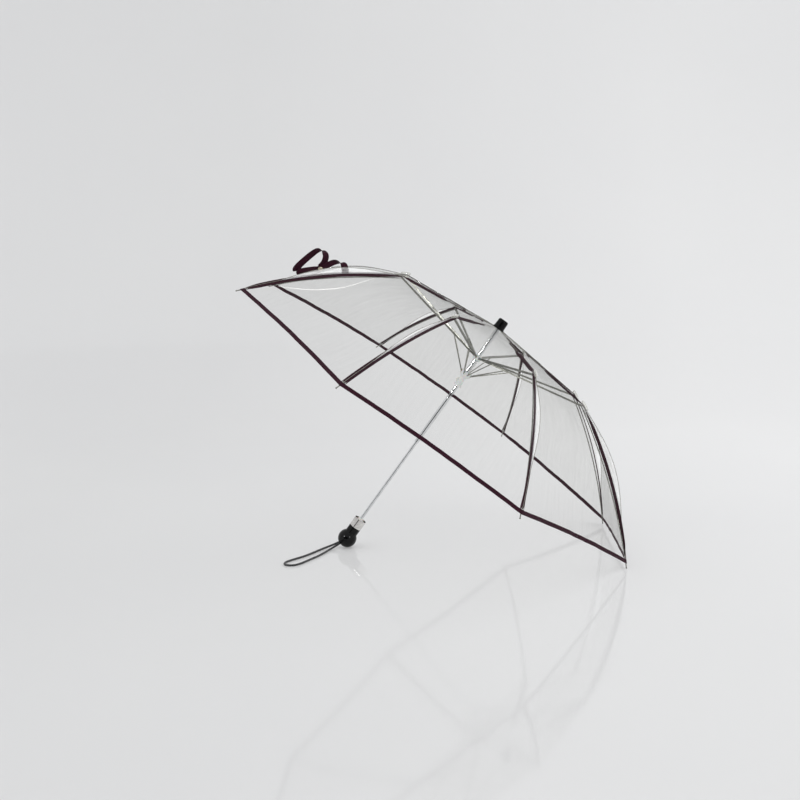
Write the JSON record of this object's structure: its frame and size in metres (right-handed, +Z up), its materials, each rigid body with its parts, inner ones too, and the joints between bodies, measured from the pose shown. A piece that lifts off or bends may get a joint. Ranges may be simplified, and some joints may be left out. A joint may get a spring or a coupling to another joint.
{
  "type": "folding umbrella",
  "caption": "Open two-section folding umbrella with a clear canopy, dark seam binding, a steel telescopic shaft, a runner, a sliding rib carrier and a ball handle with a wrist cord.",
  "frame": {"origin": "centre of the footprint, on the surface that the open umbrella lies on", "axes": "+Z up; the shaft leans towards +X and its handle rests on the -X side; +Y runs across the canopy"},
  "size_m": [0.7518, 0.936, 0.637],
  "materials": {
    "canopy_film": "clear flexible vinyl film",
    "seam_tape": "woven dark wine binding tape",
    "wine_ribbon": "woven dark wine ribbon",
    "rib_steel": "bright plated steel",
    "shaft_chrome": "chrome plated tube",
    "cup_chrome": "chrome plated cup",
    "white_plastic": "milky moulded nylon",
    "gloss_black": "glossy black moulding",
    "spring_steel": "spring wire",
    "cord_fabric": "braided black cord",
    "snap_brass": "brass snap"
  },
  "bodies": {
    "shaft": {"upper_tube": "shaft_chrome", "cap": "gloss_black"},
    "handle": {"lower_tube": "shaft_chrome", "handle_cup": "cup_chrome", "handle_ball": "gloss_black", "wrist_cord": "cord_fabric"},
    "rib_carrier": {"rib_carrier": "white_plastic"},
    "runner": {"runner": "white_plastic", "opening_spring": "spring_steel"},
    "runner_button": {"runner_button": "white_plastic"},
    "arm_1": {"arm_1": "rib_steel"},
    "outer_rib_1": {"outer_rib_1": "rib_steel", "canopy_outer_1": "canopy_film"},
    "stretcher_1": {"stretcher_1": "rib_steel"},
    "canopy_top_1": {"canopy_top_1": "canopy_film"},
    "canopy_middle_1": {"canopy_middle_1": "canopy_film"},
    "arm_2": {"arm_2": "rib_steel"},
    "outer_rib_2": {"outer_rib_2": "rib_steel", "canopy_outer_2": "canopy_film"},
    "stretcher_2": {"stretcher_2": "rib_steel"},
    "canopy_top_2": {"canopy_top_2": "canopy_film"},
    "canopy_middle_2": {"canopy_middle_2": "canopy_film"},
    "arm_3": {"arm_3": "rib_steel"},
    "outer_rib_3": {"outer_rib_3": "rib_steel", "canopy_outer_3": "canopy_film"},
    "stretcher_3": {"stretcher_3": "rib_steel"},
    "canopy_top_3": {"canopy_top_3": "canopy_film"},
    "canopy_middle_3": {"canopy_middle_3": "canopy_film"},
    "arm_4": {"arm_4": "rib_steel"},
    "outer_rib_4": {"outer_rib_4": "rib_steel", "canopy_outer_4": "canopy_film"},
    "stretcher_4": {"stretcher_4": "rib_steel"},
    "canopy_top_4": {"canopy_top_4": "canopy_film"},
    "canopy_middle_4": {"canopy_middle_4": "canopy_film"},
    "arm_5": {"arm_5": "rib_steel"},
    "outer_rib_5": {"outer_rib_5": "rib_steel", "canopy_outer_5": "canopy_film", "closure_strap": "wine_ribbon", "strap_snap": "snap_brass"},
    "stretcher_5": {"stretcher_5": "rib_steel"},
    "canopy_top_5": {"canopy_top_5": "canopy_film"},
    "canopy_middle_5": {"canopy_middle_5": "canopy_film"},
    "arm_6": {"arm_6": "rib_steel"},
    "outer_rib_6": {"outer_rib_6": "rib_steel", "canopy_outer_6": "canopy_film"},
    "stretcher_6": {"stretcher_6": "rib_steel"},
    "canopy_top_6": {"canopy_top_6": "canopy_film"},
    "canopy_middle_6": {"canopy_middle_6": "canopy_film"},
    "arm_7": {"arm_7": "rib_steel"},
    "outer_rib_7": {"outer_rib_7": "rib_steel", "canopy_outer_7": "canopy_film"},
    "stretcher_7": {"stretcher_7": "rib_steel"},
    "canopy_top_7": {"canopy_top_7": "canopy_film"},
    "canopy_middle_7": {"canopy_middle_7": "canopy_film"},
    "arm_8": {"arm_8": "rib_steel"},
    "outer_rib_8": {"outer_rib_8": "rib_steel", "canopy_outer_8": "canopy_film"},
    "stretcher_8": {"stretcher_8": "rib_steel"},
    "canopy_top_8": {"canopy_top_8": "canopy_film"},
    "canopy_middle_8": {"canopy_middle_8": "canopy_film"}
  },
  "joints": [
    {"name": "runner_slide", "type": "slide", "parent": "shaft", "child": "runner", "axis": [-0.5965, 0, -0.8026], "range_m": [0, 0.147], "deforming": ["canopy_outer_1", "canopy_top_1", "canopy_middle_1", "canopy_outer_2", "canopy_top_2", "canopy_middle_2", "canopy_outer_3", "canopy_top_3", "canopy_middle_3", "canopy_outer_4", "canopy_top_4", "canopy_middle_4", "canopy_outer_5", "canopy_top_5", "canopy_middle_5", "canopy_outer_6", "canopy_top_6", "canopy_middle_6", "canopy_outer_7", "canopy_top_7", "canopy_middle_7", "canopy_outer_8", "canopy_top_8", "canopy_middle_8", "opening_spring"]},
    {"name": "carrier_slide", "type": "slide", "parent": "shaft", "child": "rib_carrier", "axis": [-0.5965, 0, -0.8026], "range_m": [0, 0.1737]},
    {"name": "handle_slide", "type": "slide", "parent": "shaft", "child": "handle", "axis": [0.5965, 0, 0.8026], "range_m": [0, 0.165]},
    {"name": "button_press", "type": "slide", "parent": "runner", "child": "runner_button", "axis": [0.8026, 0, -0.5965], "range_m": [0, 0.0012], "stiffness_N_per_m": 600},
    {"name": "arm_hinge_1", "type": "hinge", "parent": "rib_carrier", "child": "arm_1", "pos_m": [0.09708, 0.00276, 0.39927], "axis": [0.3071, -0.9239, -0.2283], "range_deg": [0, 75.32]},
    {"name": "outer_rib_hinge_1", "type": "hinge", "parent": "arm_1", "child": "outer_rib_1", "pos_m": [0.2976, 0.09146, 0.31005], "axis": [0.3071, -0.9239, -0.2283], "range_deg": [-126.11, 0]},
    {"name": "stretcher_hinge_1", "type": "hinge", "parent": "runner", "child": "stretcher_1", "pos_m": [0.0747, 0.00429, 0.36296], "axis": [0.3071, -0.9239, -0.2283], "range_deg": [0, 48.95]},
    {"name": "canopy_top_hinge_1", "type": "hinge", "parent": "shaft", "child": "canopy_top_1", "pos_m": [0.14679, 0.00574, 0.45407], "axis": [0.3071, -0.9239, -0.2283], "range_deg": [-80.8, 0]},
    {"name": "canopy_fold_hinge_1", "type": "hinge", "parent": "canopy_top_1", "child": "canopy_middle_1", "pos_m": [0.2258, 0.04975, 0.38227], "axis": [0.3071, -0.9239, -0.2283], "range_deg": [0, 174.02]},
    {"name": "arm_hinge_2", "type": "hinge", "parent": "rib_carrier", "child": "arm_2", "pos_m": [0.09396, 0.00665, 0.4016], "axis": [0.7415, -0.3827, -0.5511], "range_deg": [0, 75.32]},
    {"name": "outer_rib_hinge_2", "type": "hinge", "parent": "arm_2", "child": "outer_rib_2", "pos_m": [0.19378, 0.22081, 0.38721], "axis": [0.7415, -0.3827, -0.5511], "range_deg": [-126.11, 0]},
    {"name": "stretcher_hinge_2", "type": "hinge", "parent": "runner", "child": "stretcher_2", "pos_m": [0.06983, 0.01035, 0.36657], "axis": [0.7415, -0.3827, -0.5511], "range_deg": [0, 48.95]},
    {"name": "canopy_top_hinge_2", "type": "hinge", "parent": "shaft", "child": "canopy_top_2", "pos_m": [0.14027, 0.01386, 0.45891], "axis": [0.7415, -0.3827, -0.5511], "range_deg": [-80.8, 0]},
    {"name": "canopy_fold_hinge_2", "type": "hinge", "parent": "canopy_top_2", "child": "canopy_middle_2", "pos_m": [0.16933, 0.1201, 0.42423], "axis": [0.7415, -0.3827, -0.5511], "range_deg": [0, 174.02]},
    {"name": "arm_hinge_3", "type": "hinge", "parent": "rib_carrier", "child": "arm_3", "pos_m": [0.08953, 0.00665, 0.40488], "axis": [0.7415, 0.3827, -0.5511], "range_deg": [0, 75.32]},
    {"name": "outer_rib_hinge_3", "type": "hinge", "parent": "arm_3", "child": "outer_rib_3", "pos_m": [0.04697, 0.22081, 0.49632], "axis": [0.7415, 0.3827, -0.5511], "range_deg": [-126.11, 0]},
    {"name": "stretcher_hinge_3", "type": "hinge", "parent": "runner", "child": "stretcher_3", "pos_m": [0.06295, 0.01035, 0.37169], "axis": [0.7415, 0.3827, -0.5511], "range_deg": [0, 48.95]},
    {"name": "canopy_top_hinge_3", "type": "hinge", "parent": "shaft", "child": "canopy_top_3", "pos_m": [0.13106, 0.01386, 0.46576], "axis": [0.7415, 0.3827, -0.5511], "range_deg": [-80.8, 0]},
    {"name": "canopy_fold_hinge_3", "type": "hinge", "parent": "canopy_top_3", "child": "canopy_middle_3", "pos_m": [0.08948, 0.1201, 0.48359], "axis": [0.7415, 0.3827, -0.5511], "range_deg": [0, 174.02]},
    {"name": "arm_hinge_4", "type": "hinge", "parent": "rib_carrier", "child": "arm_4", "pos_m": [0.08641, 0.00276, 0.40721], "axis": [0.3071, 0.9239, -0.2283], "range_deg": [0, 75.32]},
    {"name": "outer_rib_hinge_4", "type": "hinge", "parent": "arm_4", "child": "outer_rib_4", "pos_m": [-0.05684, 0.09146, 0.57348], "axis": [0.3071, 0.9239, -0.2283], "range_deg": [-126.11, 0]},
    {"name": "stretcher_hinge_4", "type": "hinge", "parent": "runner", "child": "stretcher_4", "pos_m": [0.05809, 0.00429, 0.3753], "axis": [0.3071, 0.9239, -0.2283], "range_deg": [0, 48.95]},
    {"name": "canopy_top_hinge_4", "type": "hinge", "parent": "shaft", "child": "canopy_top_4", "pos_m": [0.12454, 0.00574, 0.4706], "axis": [0.3071, 0.9239, -0.2283], "range_deg": [-80.8, 0]},
    {"name": "canopy_fold_hinge_4", "type": "hinge", "parent": "canopy_top_4", "child": "canopy_middle_4", "pos_m": [0.03301, 0.04975, 0.52556], "axis": [0.3071, 0.9239, -0.2283], "range_deg": [0, 174.02]},
    {"name": "arm_hinge_5", "type": "hinge", "parent": "rib_carrier", "child": "arm_5", "pos_m": [0.08641, -0.00276, 0.40721], "axis": [-0.3071, 0.9239, 0.2283], "range_deg": [0, 75.32]},
    {"name": "outer_rib_hinge_5", "type": "hinge", "parent": "arm_5", "child": "outer_rib_5", "pos_m": [-0.05684, -0.09146, 0.57348], "axis": [-0.3071, 0.9239, 0.2283], "range_deg": [-126.11, 0]},
    {"name": "stretcher_hinge_5", "type": "hinge", "parent": "runner", "child": "stretcher_5", "pos_m": [0.05809, -0.00429, 0.3753], "axis": [-0.3071, 0.9239, 0.2283], "range_deg": [0, 48.95]},
    {"name": "canopy_top_hinge_5", "type": "hinge", "parent": "shaft", "child": "canopy_top_5", "pos_m": [0.12454, -0.00574, 0.4706], "axis": [-0.3071, 0.9239, 0.2283], "range_deg": [-80.8, 0]},
    {"name": "canopy_fold_hinge_5", "type": "hinge", "parent": "canopy_top_5", "child": "canopy_middle_5", "pos_m": [0.03301, -0.04975, 0.52556], "axis": [-0.3071, 0.9239, 0.2283], "range_deg": [0, 174.02]},
    {"name": "arm_hinge_6", "type": "hinge", "parent": "rib_carrier", "child": "arm_6", "pos_m": [0.08953, -0.00665, 0.40488], "axis": [-0.7415, 0.3827, 0.5511], "range_deg": [0, 75.32]},
    {"name": "outer_rib_hinge_6", "type": "hinge", "parent": "arm_6", "child": "outer_rib_6", "pos_m": [0.04697, -0.22081, 0.49632], "axis": [-0.7415, 0.3827, 0.5511], "range_deg": [-126.11, 0]},
    {"name": "stretcher_hinge_6", "type": "hinge", "parent": "runner", "child": "stretcher_6", "pos_m": [0.06295, -0.01035, 0.37169], "axis": [-0.7415, 0.3827, 0.5511], "range_deg": [0, 48.95]},
    {"name": "canopy_top_hinge_6", "type": "hinge", "parent": "shaft", "child": "canopy_top_6", "pos_m": [0.13106, -0.01386, 0.46576], "axis": [-0.7415, 0.3827, 0.5511], "range_deg": [-80.8, 0]},
    {"name": "canopy_fold_hinge_6", "type": "hinge", "parent": "canopy_top_6", "child": "canopy_middle_6", "pos_m": [0.08948, -0.1201, 0.48359], "axis": [-0.7415, 0.3827, 0.5511], "range_deg": [0, 174.02]},
    {"name": "arm_hinge_7", "type": "hinge", "parent": "rib_carrier", "child": "arm_7", "pos_m": [0.09396, -0.00665, 0.4016], "axis": [-0.7415, -0.3827, 0.5511], "range_deg": [0, 75.32]},
    {"name": "outer_rib_hinge_7", "type": "hinge", "parent": "arm_7", "child": "outer_rib_7", "pos_m": [0.19378, -0.22081, 0.38721], "axis": [-0.7415, -0.3827, 0.5511], "range_deg": [-126.11, 0]},
    {"name": "stretcher_hinge_7", "type": "hinge", "parent": "runner", "child": "stretcher_7", "pos_m": [0.06983, -0.01035, 0.36657], "axis": [-0.7415, -0.3827, 0.5511], "range_deg": [0, 48.95]},
    {"name": "canopy_top_hinge_7", "type": "hinge", "parent": "shaft", "child": "canopy_top_7", "pos_m": [0.14027, -0.01386, 0.45891], "axis": [-0.7415, -0.3827, 0.5511], "range_deg": [-80.8, 0]},
    {"name": "canopy_fold_hinge_7", "type": "hinge", "parent": "canopy_top_7", "child": "canopy_middle_7", "pos_m": [0.16933, -0.1201, 0.42423], "axis": [-0.7415, -0.3827, 0.5511], "range_deg": [0, 174.02]},
    {"name": "arm_hinge_8", "type": "hinge", "parent": "rib_carrier", "child": "arm_8", "pos_m": [0.09708, -0.00276, 0.39927], "axis": [-0.3071, -0.9239, 0.2283], "range_deg": [0, 75.32]},
    {"name": "outer_rib_hinge_8", "type": "hinge", "parent": "arm_8", "child": "outer_rib_8", "pos_m": [0.2976, -0.09146, 0.31005], "axis": [-0.3071, -0.9239, 0.2283], "range_deg": [-126.11, 0]},
    {"name": "stretcher_hinge_8", "type": "hinge", "parent": "runner", "child": "stretcher_8", "pos_m": [0.0747, -0.00429, 0.36296], "axis": [-0.3071, -0.9239, 0.2283], "range_deg": [0, 48.95]},
    {"name": "canopy_top_hinge_8", "type": "hinge", "parent": "shaft", "child": "canopy_top_8", "pos_m": [0.14679, -0.00574, 0.45407], "axis": [-0.3071, -0.9239, 0.2283], "range_deg": [-80.8, 0]},
    {"name": "canopy_fold_hinge_8", "type": "hinge", "parent": "canopy_top_8", "child": "canopy_middle_8", "pos_m": [0.2258, -0.04975, 0.38227], "axis": [-0.3071, -0.9239, 0.2283], "range_deg": [0, 174.02]}
  ],
  "couplings": [
    {"joint": "carrier_slide", "follows": "runner_slide", "ratio": 1.1802},
    {"joint": "arm_hinge_1", "follows": "runner_slide", "rad_per_m": 8.9405},
    {"joint": "outer_rib_hinge_1", "follows": "runner_slide", "rad_per_m": -14.971},
    {"joint": "stretcher_hinge_1", "follows": "runner_slide", "rad_per_m": 5.8094},
    {"joint": "canopy_top_hinge_1", "follows": "runner_slide", "rad_per_m": -9.5915},
    {"joint": "canopy_fold_hinge_1", "follows": "runner_slide", "rad_per_m": 20.659},
    {"joint": "arm_hinge_2", "follows": "runner_slide", "rad_per_m": 8.9405},
    {"joint": "outer_rib_hinge_2", "follows": "runner_slide", "rad_per_m": -14.971},
    {"joint": "stretcher_hinge_2", "follows": "runner_slide", "rad_per_m": 5.8094},
    {"joint": "canopy_top_hinge_2", "follows": "runner_slide", "rad_per_m": -9.5915},
    {"joint": "canopy_fold_hinge_2", "follows": "runner_slide", "rad_per_m": 20.659},
    {"joint": "arm_hinge_3", "follows": "runner_slide", "rad_per_m": 8.9405},
    {"joint": "outer_rib_hinge_3", "follows": "runner_slide", "rad_per_m": -14.971},
    {"joint": "stretcher_hinge_3", "follows": "runner_slide", "rad_per_m": 5.8094},
    {"joint": "canopy_top_hinge_3", "follows": "runner_slide", "rad_per_m": -9.5915},
    {"joint": "canopy_fold_hinge_3", "follows": "runner_slide", "rad_per_m": 20.659},
    {"joint": "arm_hinge_4", "follows": "runner_slide", "rad_per_m": 8.9405},
    {"joint": "outer_rib_hinge_4", "follows": "runner_slide", "rad_per_m": -14.971},
    {"joint": "stretcher_hinge_4", "follows": "runner_slide", "rad_per_m": 5.8094},
    {"joint": "canopy_top_hinge_4", "follows": "runner_slide", "rad_per_m": -9.5915},
    {"joint": "canopy_fold_hinge_4", "follows": "runner_slide", "rad_per_m": 20.659},
    {"joint": "arm_hinge_5", "follows": "runner_slide", "rad_per_m": 8.9405},
    {"joint": "outer_rib_hinge_5", "follows": "runner_slide", "rad_per_m": -14.971},
    {"joint": "stretcher_hinge_5", "follows": "runner_slide", "rad_per_m": 5.8094},
    {"joint": "canopy_top_hinge_5", "follows": "runner_slide", "rad_per_m": -9.5915},
    {"joint": "canopy_fold_hinge_5", "follows": "runner_slide", "rad_per_m": 20.659},
    {"joint": "arm_hinge_6", "follows": "runner_slide", "rad_per_m": 8.9405},
    {"joint": "outer_rib_hinge_6", "follows": "runner_slide", "rad_per_m": -14.971},
    {"joint": "stretcher_hinge_6", "follows": "runner_slide", "rad_per_m": 5.8094},
    {"joint": "canopy_top_hinge_6", "follows": "runner_slide", "rad_per_m": -9.5915},
    {"joint": "canopy_fold_hinge_6", "follows": "runner_slide", "rad_per_m": 20.659},
    {"joint": "arm_hinge_7", "follows": "runner_slide", "rad_per_m": 8.9405},
    {"joint": "outer_rib_hinge_7", "follows": "runner_slide", "rad_per_m": -14.971},
    {"joint": "stretcher_hinge_7", "follows": "runner_slide", "rad_per_m": 5.8094},
    {"joint": "canopy_top_hinge_7", "follows": "runner_slide", "rad_per_m": -9.5915},
    {"joint": "canopy_fold_hinge_7", "follows": "runner_slide", "rad_per_m": 20.659},
    {"joint": "arm_hinge_8", "follows": "runner_slide", "rad_per_m": 8.9405},
    {"joint": "outer_rib_hinge_8", "follows": "runner_slide", "rad_per_m": -14.971},
    {"joint": "stretcher_hinge_8", "follows": "runner_slide", "rad_per_m": 5.8094},
    {"joint": "canopy_top_hinge_8", "follows": "runner_slide", "rad_per_m": -9.5915},
    {"joint": "canopy_fold_hinge_8", "follows": "runner_slide", "rad_per_m": 20.659}
  ]
}
